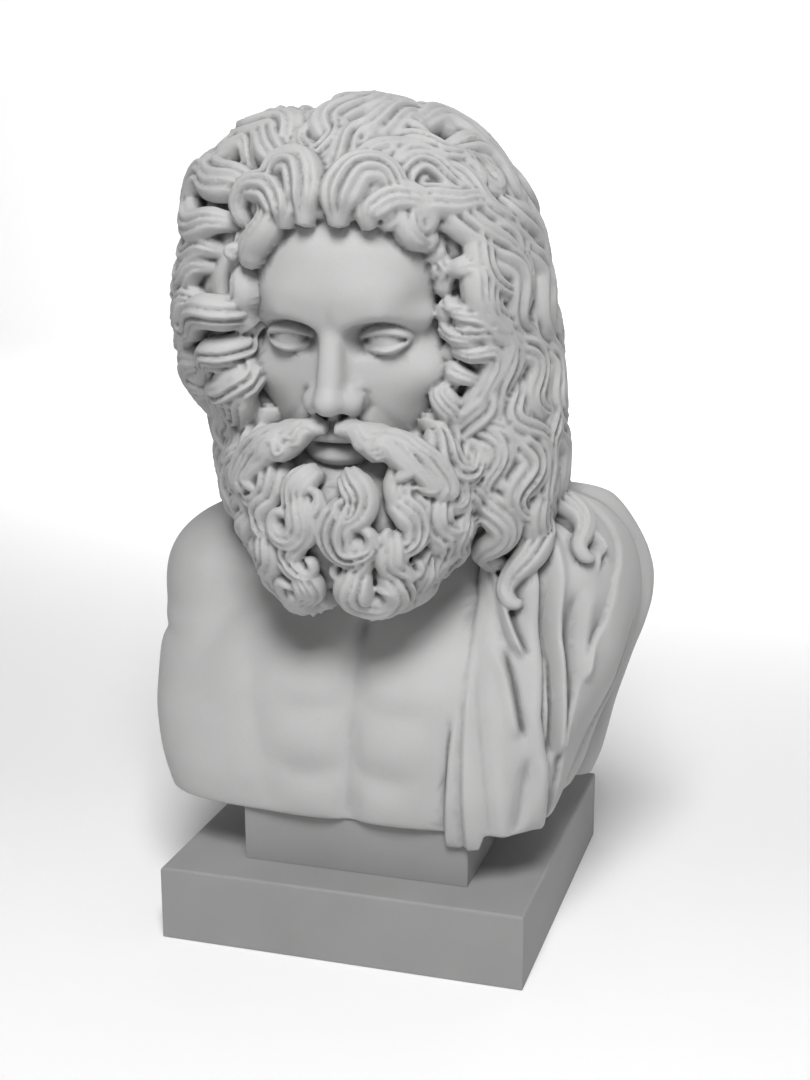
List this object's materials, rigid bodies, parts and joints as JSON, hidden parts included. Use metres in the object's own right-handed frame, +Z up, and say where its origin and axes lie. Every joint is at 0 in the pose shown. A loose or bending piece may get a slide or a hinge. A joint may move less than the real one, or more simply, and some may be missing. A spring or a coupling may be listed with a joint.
{
  "type": "classical portrait bust on plinth",
  "caption": "Bust of a bearded classical god with long curled hair and a cloak over one shoulder, on a riser block and a low slab.",
  "frame": {"origin": "centre of the slab's underside, on the surface that the bust stands on", "axes": "+Z up, the figure looks along -Y, +X towards the figure's left shoulder, which is the viewer's right"},
  "size_m": [0.4178, 0.3194, 0.6676],
  "materials": {
    "bust_stone": "matte grey cast stone",
    "riser_stone": "matte grey cast stone, plain faces",
    "slab_stone": "matte grey cast stone, plain faces"
  },
  "bodies": {
    "root": {"bust": "bust_stone", "riser_block": "riser_stone", "plinth_slab": "slab_stone"}
  },
  "joints": []
}
